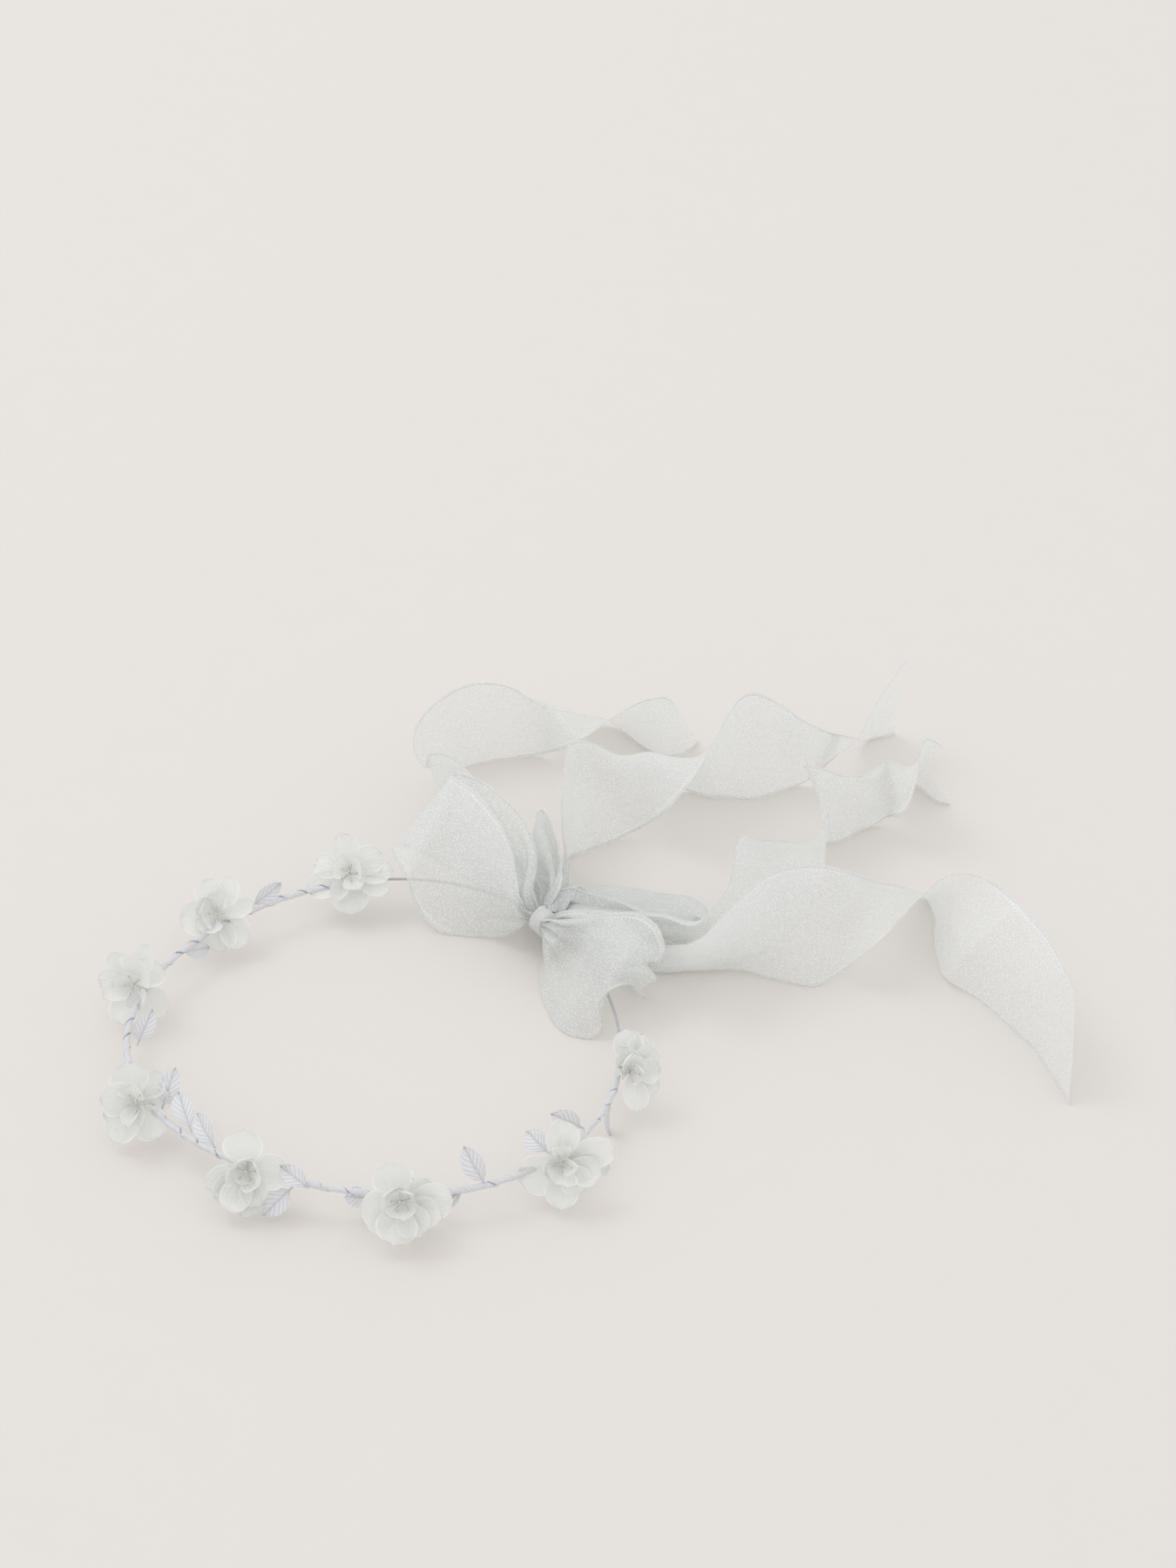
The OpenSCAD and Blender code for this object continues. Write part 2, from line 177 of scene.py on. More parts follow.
def floor_material():
    m = Mat("floor")
    grain = m.noise(60, 3)
    colour = m.mix_colour(grain, (0.790, 0.755, 0.715, 1), (0.800, 0.766, 0.727, 1))
    return m.done(m.principled(colour, 0.9, m.bump(m.noise(900, 2), 0.0001, 0.25), spec=0.15))


def organza_material():
    """Sheer ribbon: see-through face-on and denser edge-on, with a bumpy weave and painted glints."""
    m = Mat("organza")
    u, v = m.uv()
    edge = m.math("ABSOLUTE", m.math("SUBTRACT", u, 0.5))
    hem = m.math("GREATER_THAN", edge, 0.462)
    thread = m.math("COMPARE", edge, 0.458, 0.0045)
    dash = m.math("GREATER_THAN", m.math("FRACT", m.math("MULTIPLY", v, 26.0)), 0.3)
    stitch = m.math("MULTIPLY", thread, dash)
    glit = m.noise(2000, 2, rough=0.75)
    # painted glints: sparse dots where the cloth is painted white, denser and glossier, standing in for
    # glitter catching the light
    painted_glint = m.math("MULTIPLY", m.math("GREATER_THAN", glit, 0.55), 1.0)
    cloudy = m.noise(55, 3)
    warp = m.add("ShaderNodeTexWave", wave_type="BANDS", bands_direction="X")
    warp.inputs["Scale"].default_value = 9.0
    warp.inputs["Distortion"].default_value = 2.0
    m.link(m.add("ShaderNodeUVMap", uv_map="UVMap").outputs[0], warp.inputs["Vector"])
    height = m.math("ADD", m.math("MULTIPLY", glit, 0.6), m.math("MULTIPLY", warp.outputs["Fac"], 0.4))
    normal = m.bump(height, 0.00030, 0.6)
    base = m.mix_colour(cloudy, (0.83, 0.86, 0.84, 1), (0.89, 0.915, 0.895, 1))
    # painted glints: the base colour turns white at the glint dots
    base = m.mix_colour(m.math("MULTIPLY", painted_glint, 0.8), base, (1.0, 1.0, 1.0, 1))
    base = m.mix_colour(m.math("MULTIPLY", hem, 0.45), base, (0.96, 0.975, 0.965, 1))
    base = m.mix_colour(m.math("MULTIPLY", stitch, 0.8), base, (0.97, 0.98, 0.98, 1))
    rough = m.math("SUBTRACT", 0.50, m.math("MULTIPLY", painted_glint, 0.28))
    cloth = m.mix(0.42, m.principled(base, rough, normal, spec=0.6, sheen=0.25), m.translucent(base, normal))
    facing = m.add("ShaderNodeLayerWeight")
    facing.inputs["Blend"].default_value = 0.35
    cover = m.math("ADD", 0.60, m.math("MULTIPLY", facing.outputs["Facing"], 0.36))
    cover = m.math("ADD", cover, m.math("MULTIPLY", hem, 0.14))
    cover = m.math("ADD", cover, m.math("MULTIPLY", painted_glint, 0.16))
    cover = m.math("MINIMUM", m.math("ADD", cover, m.math("MULTIPLY", stitch, 0.3)), 1.0)
    return m.done(m.mix(cover, m.add("ShaderNodeBsdfTransparent").outputs[0], cloth))


def hem_material():
    """The rolled edge of the ribbon, with thread wound over it."""
    m = Mat("ribbon_hem")
    u, v = m.uv()
    wind = m.math("SINE", m.math("MULTIPLY", v, 300.0))
    normal = m.bump(m.math("ADD", wind, m.noise(1500, 2)), 0.0002, 0.5)
    crest = m.math("MULTIPLY", m.math("ADD", wind, 1.0), 0.5)
    base = m.mix_colour(crest, (0.95, 0.965, 0.955, 1), (1.0, 1.0, 1.0, 1))
    cloth = m.mix(0.45, m.principled(base, 0.5, normal, spec=0.4, sheen=0.2), m.translucent(base, normal))
    return m.done(m.mix(0.55, m.add("ShaderNodeBsdfTransparent").outputs[0], cloth))


def petal_material():
    """Thin stiffened cloth with a painted highlight on its rim, painted shade near its base, and faint creases
    running from the base.
    """
    m = Mat("petal_cloth")
    u, v = m.uv()
    edge = m.math("ABSOLUTE", m.math("SUBTRACT", u, 0.5))
    # painted highlight along the petal's sides and tip: the base colour is paler there
    painted_side_highlight = m.math("SUBTRACT", m.math("MULTIPLY", edge, 2.0), 0.86)
    rim = m.math("MAXIMUM", painted_side_highlight, m.math("SUBTRACT", v, 0.93))
    rim = m.math("MINIMUM", m.math("MULTIPLY", m.math("MAXIMUM", rim, 0.0), 12.0), 1.0)
    ribs = m.math("SINE", m.math("MULTIPLY", u, 42.0))
    grain = m.noise(1300, 2)
    soft = m.noise(160, 3)
    cloth_grain = m.math("ADD", grain, m.math("MULTIPLY", soft, 1.2))
    height = m.math("ADD", m.math("MULTIPLY", ribs, 0.35), cloth_grain)
    normal = m.bump(height, 0.0003, 0.5)
    base = m.mix_colour(soft, (0.87, 0.885, 0.855, 1), (0.95, 0.96, 0.935, 1))
    base = m.mix_colour(m.math("MULTIPLY", rim, 0.9), base, (0.99, 0.995, 0.99, 1))
    # painted shade towards the petal's base, where the petals overlap: the base colour darkens to a dull
    # yellow-grey
    painted_heart_shade = m.math("MULTIPLY", m.math("MAXIMUM", m.math("SUBTRACT", 0.35, v), 0.0), 0.5)
    base = m.mix_colour(painted_heart_shade, base, (0.80, 0.80, 0.74, 1))
    cloth = m.mix(0.24, m.principled(base, 0.6, normal, spec=0.3, sheen=0.1), m.translucent(base, normal))
    return m.done(m.mix(0.985, m.add("ShaderNodeBsdfTransparent").outputs[0], cloth))


def leaf_material():
    """White satin pressed with a midrib and slanting side veins, with painted shade along them."""
    m = Mat("leaf_satin")
    u, v = m.uv()
    edge = m.math("ABSOLUTE", m.math("SUBTRACT", u, 0.5))
    slant = m.math("SUBTRACT", v, m.math("MULTIPLY", edge, 0.55))
    veins = m.math("POWER", m.math("ABSOLUTE", m.math("SINE", m.math("MULTIPLY", slant, 22.0))), 0.35)
    mid = m.math("MINIMUM", m.math("MULTIPLY", edge, 16.0), 1.0)
    grain = m.noise(1800, 2)
    smooth_parts = m.math("ADD", mid, m.math("MULTIPLY", grain, 0.2))
    height = m.math("ADD", veins, smooth_parts)
    normal = m.bump(height, 0.00030, 0.65)
    # painted shade in the pressed grooves: the base colour is darker along the side veins and the midrib
    base = m.mix_colour(m.math("MULTIPLY", veins, mid), (0.76, 0.775, 0.79, 1), (0.90, 0.91, 0.925, 1))
    cloth = m.mix(0.18, m.principled(base, 0.42, normal, spec=0.5, sheen=0.15), m.translucent(base, normal))
    return m.done(cloth)


def tape_material():
    m = Mat("stem_tape")
    u, v = m.uv()
    wobble = m.math("MULTIPLY", m.noise(500, 2), 6.0)
    crepe = m.math("SINE", m.math("ADD", m.math("MULTIPLY", v, 520.0), wobble))
    grain = m.noise(1500, 3)
    normal = m.bump(m.math("ADD", m.math("MULTIPLY", crepe, 0.5), grain), 0.00025, 0.6)
    base = m.mix_colour(m.noise(260, 2), (0.84, 0.85, 0.88, 1), (0.96, 0.965, 0.975, 1))
    wound = m.math("FRACT", m.math("ADD", m.math("MULTIPLY", v, 5.333), u))
    gap = m.math("MULTIPLY", m.math("LESS_THAN", wound, 0.09), m.math("GREATER_THAN", m.noise(190, 2), 0.5))
    base = m.mix_colour(m.math("MULTIPLY", gap, 0.75), base, (0.30, 0.34, 0.42, 1))
    return m.done(m.mix(0.1, m.principled(base, 0.6, normal, spec=0.3), m.translucent(base, normal)))


def wire_material():
    m = Mat("wire")
    grain = m.noise(700, 3)
    base = m.mix_colour(grain, (0.42, 0.43, 0.45, 1), (0.60, 0.61, 0.64, 1))
    return m.done(m.principled(base, 0.42, m.bump(grain, 0.0001, 0.4), metallic=0.75))


def satin_material():
    m = Mat("satin_wrap")
    u, v = m.uv()
    weave = m.math("SINE", m.math("MULTIPLY", u, 130.0))
    normal = m.bump(m.math("ADD", m.math("MULTIPLY", weave, 0.3), m.noise(900, 2)), 0.0002, 0.5)
    base = m.mix_colour(m.noise(220, 3), (0.84, 0.855, 0.84, 1), (0.93, 0.935, 0.92, 1))
    cloth = m.principled(base, 0.38, normal, spec=0.5, sheen=0.3)
    return m.done(m.mix(0.2, cloth, m.translucent(base, normal)))


def bead_material():
    m = Mat("stamen")
    base = m.mix_colour(m.noise(900, 2), (0.80, 0.79, 0.72, 1), (0.93, 0.92, 0.88, 1))
    return m.done(m.principled(base, 0.45, m.bump(m.noise(1800, 2), 0.0001, 0.4), spec=0.4))


ORGANZA = organza_material()
HEM = hem_material()
PETAL = petal_material()
LEAF = leaf_material()
TAPE = tape_material()
WIRE = wire_material()
SATIN = satin_material()
BEAD = bead_material()


# ---------------------------------------------------------------- geometry helpers
def unit(v):
    return v / np.maximum(np.linalg.norm(v, axis=-1, keepdims=True), 1e-9)


def grids_object(name, grids, material, wrap=False):
    """One mesh from several grids of points, each (rows, columns, 3) in millimetres with its UVs."""
    verts, faces, uvs = [], [], []
    start = 0
    for pts, uv in grids:
        rows, cols = pts.shape[:2]
        verts.extend((pts.reshape(-1, 3) * MM).tolist())
        flat_uv = uv.reshape(-1, 2)
        for j in range(rows - 1):
            for i in range(cols if wrap else cols - 1):
                k = (i + 1) % cols
                f = (j * cols + i, j * cols + k, (j + 1) * cols + k, (j + 1) * cols + i)
                faces.append(tuple(start + x for x in f))
                for x in f:
                    uvs.append(flat_uv[x])
        start += rows * cols
    me = bpy.data.meshes.new(name)
    me.from_pydata(verts, [], faces)
    layer = me.uv_layers.new(name="UVMap")
    layer.data.foreach_set("uv", np.array(uvs, dtype=np.float32).ravel())
    me.polygons.foreach_set("use_smooth", [True] * len(me.polygons))
    me.materials.append(material)
    me.update()
    o = bpy.data.objects.new(name, me)
    bpy.context.collection.objects.link(o)
    return o


def curve_through(rows, t):
    """Smooth curve through the rows of points, at the places t."""
    n = len(rows)
    ext = np.concatenate([[2 * rows[0] - rows[1]], rows, [2 * rows[-1] - rows[-2]]])
    i = np.clip(np.floor(t).astype(int), 0, n - 2)
    f = (t - i).reshape(t.shape + (1,) * (rows.ndim - 1))
    p0, p1, p2, p3 = ext[i], ext[i + 1], ext[i + 2], ext[i + 3]
    square = (2 * p0 - 5 * p1 + 4 * p2 - p3) * f**2
    cube = (3 * p1 - p0 - 3 * p2 + p3) * f**3
    return 0.5 * (2 * p1 + (p2 - p0) * f + square + cube)


def field(pts, scale, seed):
    """Smooth random values at the points, from about -1 to 1."""
    flat = pts.reshape(-1, 3) / scale + seed * 17.3
    return np.array([noise.noise(Vector(p)) for p in flat]).reshape(pts.shape[:-1])


def tube(path, radius, around):
    """Closed tube round a path of points; radius is one value or an array (rings, around)."""
    d = unit(np.gradient(path, axis=0))
    side = unit(np.cross(d, np.array([0.0, 0.0, 1.0]) + 1e-4))
    up = np.cross(side, d)
    a = np.linspace(0, 2 * np.pi, around, endpoint=False)
    r = np.broadcast_to(radius, (len(path), around))[..., None]
    ca, sa = np.cos(a)[None, :, None], np.sin(a)[None, :, None]
    pts = path[:, None] + r * (ca * side[:, None] + sa * up[:, None])
    s = np.concatenate([[0], np.cumsum(np.linalg.norm(np.diff(path, axis=0), axis=1))])
    uv = np.stack(np.broadcast_arrays((a / (2 * np.pi))[None], (s / 40)[:, None]), -1)
    return pts, uv


def ball(centre, r, rows=8, cols=12):
    a = np.linspace(0, np.pi, rows)[:, None]
    b = np.linspace(0, 2 * np.pi, cols, endpoint=False)[None]
    d = np.stack(np.broadcast_arrays(np.sin(a) * np.cos(b), np.sin(a) * np.sin(b), np.cos(a)), -1)
    uv = np.stack(np.broadcast_arrays(b / 6.3, a / 3.2), -1)
    return np.array(centre) + d * r, uv


# ---------------------------------------------------------------- hoop, tape
def hoop_rad(deg):
    a = np.radians(deg)
    oval = 0.9 * np.cos(a + math.radians(133)) + 1.7 * np.cos(2 * a)
    return 79.5 + oval + 2.6 * np.cos(3 * a + math.radians(18))


def hoop_pt(deg):
    a = np.radians(deg)
    r = hoop_rad(deg)
    return np.stack([r * np.cos(a), r * np.sin(a), np.full_like(a, 11.5)], -1)


ring = hoop_pt(np.linspace(0, 360, 361))
wire = grids_object("bare_wire", [tube(ring, 0.45, 10)], WIRE, wrap=True)
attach(wire, "crown")
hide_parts("hoop_wire")

deg = np.linspace(141, 402, 1400)
path = hoop_pt(deg)
s = np.concatenate([[0], np.cumsum(np.linalg.norm(np.diff(path, axis=0), axis=1))])
phi = np.linspace(0, 1, 14, endpoint=False)[None]
turn = (s[:, None] / 7.5 + phi) % 1.0
lump = np.array([noise.noise(Vector((x / 9, 3.1, 0))) for x in s])[:, None]
rad = 0.95 + 0.34 * turn**3 + 0.26 * lump + 0.08 * np.sin(2 * np.pi * (phi * 3 + s[:, None] / 5))
ends = np.minimum(1, np.minimum(s, s[-1] - s) / 3)[:, None]
tape = grids_object("tape_wrap", [tube(path, 0.5 + (rad - 0.5) * ends, 14)], TAPE, wrap=True)
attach(tape, "crown")
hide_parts("stem_tape")


# ---------------------------------------------------------------- flowers
def petal(base, d, face, length, width, cup, curl, seed, pointed=0.0, ruffle=0.5):
    """A cloth petal from its base along d, facing the side `face`; cup bends it across its
    width and curl bends it along its length, both in degrees."""
    rng = np.random.default_rng(seed)
    rows, cols = 17, 13
    v = np.linspace(0, 1, rows)
    x = np.linspace(-1, 1, cols)
    d = unit(np.array(d, float))
    n = unit(face - d * np.dot(face, d))
    side = np.cross(d, n)
    bend = np.radians(curl) * (v - 0.35) + np.radians(8) * np.sin(v * 5 + rng.uniform(0, 6))
    step = length / (rows - 1)
    along = np.cos(bend)[:, None] * d + np.sin(bend)[:, None] * n
    centre = np.array(base) + np.concatenate([[np.zeros(3)], np.cumsum(along[:-1] * step, axis=0)])
    up = np.cos(bend)[:, None] * n - np.sin(bend)[:, None] * d
    m = 0.56
    low = 0.2 + 0.8 * np.sin(np.pi / 2 * np.minimum(v / m, 1)) ** 1.15
    top = np.sqrt(np.maximum(0, 1 - (np.maximum(v - m, 0) / (1.0 - m)) ** (2.3 - pointed)))
    w = 0.59 * width * low * np.maximum(top, 0.03)
    a = math.radians(cup)
    lateral = np.sin(x[None] * a) / a * w[:, None] if cup > 1 else x[None] * w[:, None]
    rise = (1 - np.cos(x[None] * a)) / a * w[:, None] if cup > 1 else 0 * lateral
    ph = rng.uniform(0, 6, 3)
    wave = ruffle * (v[:, None] ** 1.5) * (
        np.sin(x[None] * 3.2 + ph[0]) * 0.55 + np.sin(x[None] * 6.5 + ph[1] + v[:, None] * 3) * 0.3
    )
    notch = 1 - 0.05 * v[:, None] * np.cos(x[None] * 4 + ph[2])
    across = lateral[..., None] * notch[..., None] * side
    pts = centre[:, None] + across + (rise + wave)[..., None] * up[:, None]
    pts = pts + (field(pts, 4.0, seed) * 0.35 * v[:, None])[..., None] * up[:, None]
    pts[..., 2] = np.maximum(pts[..., 2], 0.15 + 0.1 * np.abs(x)[None])
    uv = np.stack(np.broadcast_arrays((x[None] + 1) / 2, v[:, None]), -1)
    return pts, uv


# Each flower: its angle on the hoop, distance outside the wire and height above it, then its
# outer and its inner petals. A petal is its direction round the leaning frame, its lean
# towards the front, length, width, cup and curl.
FLOWERS = [
    (143.5, 1.5, 3.0,
     [(100, 5, 14, 9, 35, 10), (165, -15, 13, 8, 30, -20), (32, -5, 13, 10, 30, 15), (3, 5, 15, 9, 40, 20),
      (205, 5, 16, 9, 35, 15), (275, 15, 15, 11, 30, 10), (335, 15, 16, 8, 55, 20)],
     [(60, 45, 9, 11, 40, -20), (245, 25, 13, 9, 95, 30), (140, 35, 8, 9, 50, 10), (310, 40, 9, 9, 60, 20)]),
    (178, 3.0, 2.0,
     [(110, -10, 13, 9, 35, 20), (190, 5, 13, 12, 40, 25), (66, -5, 14, 8, 30, 10), (18, 0, 13, 7, 45, 10),
      (275, -5, 13, 12, 35, 30), (318, 0, 14, 10, 35, 20)],
     [(130, 30, 9, 10, 50, 10), (170, 40, 8, 11, 55, 20), (235, 30, 9, 10, 50, 20), (80, 20, 9, 8, 60, 10)]),
    (208.5, 3.5, 2.0,
     [(126, 0, 13, 8, 35, 20), (70, 0, 14, 8, 35, 20), (170, 5, 12, 8, 40, 20), (255, 0, 14, 10, 30, 20),
      (315, -10, 15, 11, 35, 15), (28, -10, 11, 9, 40, 10)],
     [(62, 35, 12, 13, 45, 25), (205, 30, 12, 8, 55, 20), (290, 30, 10, 9, 60, 20), (140, 45, 8, 9, 60, 20)]),
    (249, 3.5, 2.0,
     [(106, 5, 13, 13, 40, 35), (50, 0, 12, 9, 40, 20), (205, 15, 12, 10, 35, 20), (240, 0, 15, 10, 30, 20),
      (303, 0, 14, 11, 30, 20), (0, 0, 11, 9, 40, 20)],
     [(170, 30, 13, 11, 35, 10), (258, 45, 12, 7, 85, 15), (293, 45, 11, 7, 85, 15), (100, 45, 8, 9, 55, 20)]),
    (284, 3.5, 2.0,
     [(95, 5, 13, 12, 40, 20), (0, 15, 14, 11, 35, 15), (200, 5, 14, 9, 35, 20), (225, 5, 14, 9, 40, 25),
      (248, 8, 14, 9, 40, 25), (270, 10, 15, 9, 40, 25), (293, 12, 12, 9, 40, 25)],
     [(150, 50, 9, 13, 50, 30), (60, 50, 8, 10, 60, 30), (320, 45, 9, 9, 60, 20), (240, 50, 7, 9, 60, 20)]),
    (319.5, 5.0, 2.0,
     [(110, 5, 13, 12, 40, 20), (202, 20, 14, 13, 35, 10), (0, 0, 16, 11, 35, 15), (338, 10, 14, 9, 40, 20),
      (25, -5, 11, 9, 40, 15), (260, 15, 14, 12, 35, 15), (300, 15, 13, 10, 40, 20)],
     [(160, 45, 9, 11, 50, 20), (30, 50, 8, 9, 60, 20), (280, 50, 9, 10, 55, 20), (90, 50, 7, 9, 60, 20)]),
    (354.5, 5.5, 2.5,
     [(95, 10, 14, 11, 60, 30), (60, 0, 12, 8, 40, 15), (18, 0, 17, 9, 35, 10), (340, 10, 13, 9, 40, 20),
      (205, -5, 15, 12, 30, 10), (268, 5, 15, 10, 35, 15), (352, -5, 15, 8, 40, 10), (305, 5, 11, 9, 40, 20)],
     [(350, 55, 9, 7, 80, 15), (250, 40, 9, 11, 45, 20), (130, 45, 8, 10, 55, 20), (200, 40, 9, 9, 55, 20)]),
    (26.5, 4.0, 2.5,
     [(96, 0, 14, 10, 45, 20), (70, -5, 13, 9, 45, 20), (40, -5, 11, 9, 50, 20), (281, 10, 13, 8, 40, 15),
      (8, 0, 10, 8, 50, 15), (325, 0, 11, 8, 45, 20)],
     [(150, 45, 7, 8, 110, 40), (80, 40, 9, 9, 70, 30), (110, 25, 10, 8, 60, 10), (0, 45, 7, 8, 70, 20)]),
]


def tilted(phi, lean):
    p, t = math.radians(phi), math.radians(lean)
    d = math.cos(t) * (math.cos(p) * LEAN[0] + math.sin(p) * LEAN[1]) + math.sin(t) * LEAN[2]
    return LAY @ d


for k, (angle, off, up, outer, inner) in enumerate(FLOWERS):
    a = math.radians(angle)
    out = np.array([math.cos(a), math.sin(a), 0])
    foot = hoop_pt(np.array([float(angle)]))[0]
    heart = foot + out * off + np.array([0, 0, up])
    for kind, petals in (("outer", outer), ("inner", inner)):
        grids = []
        for j, (phi_, lean, length, width, cup, curl) in enumerate(petals):
            seed = 100 * k + 10 * j + (5 if kind == "inner" else 0)
            d = tilted(phi_, lean)
            start = heart + d * 0.9 + FRONT * (0.2 * j % 0.9 + (0.8 if kind == "inner" else 0))
            grids.append(petal(start, d, FRONT + 0.35 * out, length - 0.9, width, cup, curl, seed))
        o = grids_object(f"flower_{k + 1}_{kind}_petals", grids, PETAL)
        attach(o, "crown")
        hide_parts(f"flower_{k + 1}_{kind}")
    parts = [tube(foot + (heart - foot) * np.linspace(0, 1, 9)[:, None] + out * 0.01, 0.55, 8)]
    for j in range(5):
        d = unit(FRONT + 0.55 * tilted(72 * j + 20 * k, 0))
        tip = heart + d * (5.5 + 0.5 * (j % 2))
        parts.append(tube(heart + (tip - heart) * np.linspace(0, 1, 7)[:, None], 0.17, 6))
        parts.append(ball(tip, 0.42, 6, 8))
    o = grids_object(f"flower_{k + 1}_stamens", parts, BEAD)
    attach(o, "crown")
    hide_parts(f"flower_{k + 1}_stem")

# ---------------------------------------------------------------- leaves
# base on the tape, tip, roll of the blade and width
LEAVES = [
    ((-52, -60, 12), (-54, -51, 20), 10, 5.5), ((-23, -75, 12), (-26, -66, 21), 0, 6),
    ((-8, -76, 12), (-20, -70, 17), 0, 6), ((3, -76, 12), (-9, -72, 16), -20, 6),
    ((33, -71, 11), (29, -80, 3), 10, 7), ((55, -57, 11), (45, -60, 7), 0, 6),
    ((73, -36, 11), (65, -43, 5), 0, 6), ((77, -31, 12), (67, -30, 21), -10, 6.5),
    ((81, -7, 12), (70, -5, 13), 0, 6), ((81, 9, 12), (73, 3, 17), 10, 6),
    ((77, 26, 11), (80, 22, 1), 75, 5), ((-79, 15, 12), (-77, 27, 16), 20, 5.5),
    ((-79, -17, 11), (-79, -5, 6), 10, 5.5), ((38, -69, 12), (28, -71, 16), 10, 5.5),
    ((66, -46, 12), (59, -52, 16), 10, 5.5),
]
for k, (base, tip, roll, width) in enumerate(LEAVES):
    base, tip = np.array(base, float), np.array(tip, float)
    length = np.linalg.norm(tip - base) * 1.06
    d = unit(tip - base)
    n = unit(FRONT - d * np.dot(FRONT, d))
    s0 = np.cross(d, n)
    r = math.radians(roll)
    n = n * math.cos(r) + s0 * math.sin(r)
    side = np.cross(d, n)
    v = np.linspace(0, 1, 25)
    x = np.linspace(-1, 1, 13)
    body = np.clip((v - 0.14) / 0.86, 0, 1)
    w = 0.28 + (width * 0.56 - 0.28) * np.sin(np.pi * body**0.85) ** 0.8
    w = w * np.clip((1.004 - v) * 9, 0, 1)
    arch = 0.9 * np.sin(np.pi * v)
    fold = 0.22 + 0.06 * math.sin(k)
    centre = base + d * length * v[:, None] + n * arch[:, None]
    rise = fold * np.abs(x)[None] * w[:, None] + 0.12 * np.sin(x[None] * 9 + v[:, None] * 14) * v[:, None]
    rise = rise + 0.5 * math.sin(k * 2.1) * x[None] * v[:, None] ** 2
    pts = centre[:, None] + side * (x[None] * w[:, None])[..., None] + n * rise[..., None]
    pts[..., 2] = np.maximum(pts[..., 2], 0.2)
    uv = np.stack(np.broadcast_arrays((x[None] + 1) / 2, v[:, None]), -1)
    back = pts - n * 0.22
    rim_front = np.concatenate([pts[:, :1], back[:, :1]], 1)
    rim_back = np.concatenate([back[:, -1:], pts[:, -1:]], 1)
    o = grids_object(
        f"leaf_{k + 1}_blade",
        [(pts, uv), (back[:, ::-1], uv), (rim_front, uv[:, :2]), (rim_back, uv[:, -2:])], LEAF)
    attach(o, "crown")
    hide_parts(f"leaf_{k + 1}")

# ---------------------------------------------------------------- ribbons
TAIL_1 = [
    [[51, 58, 14], [51, 58, 11]], [[51, 64, 14], [51, 64, 10]],
    [[51, 72, 15], [51, 73, 9]], [[45, 83, 20], [45, 86, 6]], [[34, 100, 28], [36, 103, 3]],
    [[22, 118, 34], [26, 124, 0]], [[12, 126, 32], [14, 142, 0]], [[9, 132, 22], [17, 158, 0]],
    [[5, 138, 26], [24, 163, 0]], [[6, 149, 29], [32, 166, 0]], [[14, 160, 32], [38, 167, 0]],
    [[26, 165, 35], [45, 169, 0]], [[39, 168, 31], [52, 167, 3]],
    [[49, 175, 18], [59, 155, 14], [54, 166, 24]],
    [[60, 184, 9], [67, 150, 23]], [[75, 188, 2], [76, 157, 26]], [[86, 176, 0], [84, 158, 31]],
    [[93, 169, 0], [90, 157, 34]], [[101, 170, 0], [94, 159, 33]], [[107, 178, 0], [97, 157, 32]]
]
TAIL_2 = [
    [[53, 58, 11], [53, 58, 14]], [[56, 66, 10], [55, 66, 14]],
    [[58, 76, 8], [58, 74, 16]], [[60, 90, 3], [59, 84, 20]], [[60, 107, 0], [58, 91, 22]],
    [[64, 110, 0], [58, 100, 34]], [[71, 114, 0], [59, 119, 38]], [[79, 119, 1], [63, 124, 39]],
    [[87, 119, 6], [71, 130, 32], [80, 123, 23]],
    [[94, 114, 16], [82, 139, 17], [88, 130, 28]],
    [[100, 112, 26], [91, 145, 8], [95, 131, 27]],
    [[107, 119, 34], [102, 147, 1], [104, 135, 23]], [[114, 136, 38], [110, 144, 0]],
    [[120, 148, 40], [117, 143, 0]], [[126, 153, 39], [125, 142, 0]],
    [[134, 148, 38], [133, 145, 0]], [[142, 139, 37], [141, 150, 0]],
    [[151, 145, 28], [148, 149, 6], [150, 149, 18]],
    [[159, 165, 12], [154, 138, 22], [156, 152, 19]],
    [[166, 176, 2], [161, 139, 28]], [[171, 180, 0], [167, 151, 33]],
    [[175, 181, 0], [173, 160, 37]], [[179, 183, 0], [181, 173, 40]]
]
TAIL_3 = [
    [[55, 57, 13], [55, 57, 11]],
    [[62, 60, 15], [62, 61, 8]], [[75, 56, 16], [75, 59, 1]], [[90, 49, 20], [90, 54, 0]],
    [[102, 44, 20], [105, 52, 0]], [[110, 47, 28], [114, 49, 0]], [[114, 51, 34], [123, 53, 0]],
    [[116, 60, 40], [133, 60, 2]], [[118, 68, 40], [141, 66, 8]], [[123, 77, 32], [146, 69, 18]],
    [[131, 92, 20], [147, 77, 26]], [[139, 106, 8], [147, 93, 32]],
    [[148, 115, 0], [144, 106, 37]], [[155, 117, 0], [141, 109, 39]],
    [[160, 121, 0], [147, 110, 37]], [[167, 126, 0], [155, 113, 32]],
    [[172, 125, 5], [164, 122, 26], [168, 126, 18]], [[177, 113, 16], [174, 149, 12], [175, 133, 18]],
    [[181, 117, 28], [182, 153, 2], [181, 137, 19]],
    [[182, 123, 35], [187, 147, 0], [185, 137, 21]],
    [[185, 128, 37], [191, 141, 0]], [[190, 125, 36], [196, 139, 0]]
]
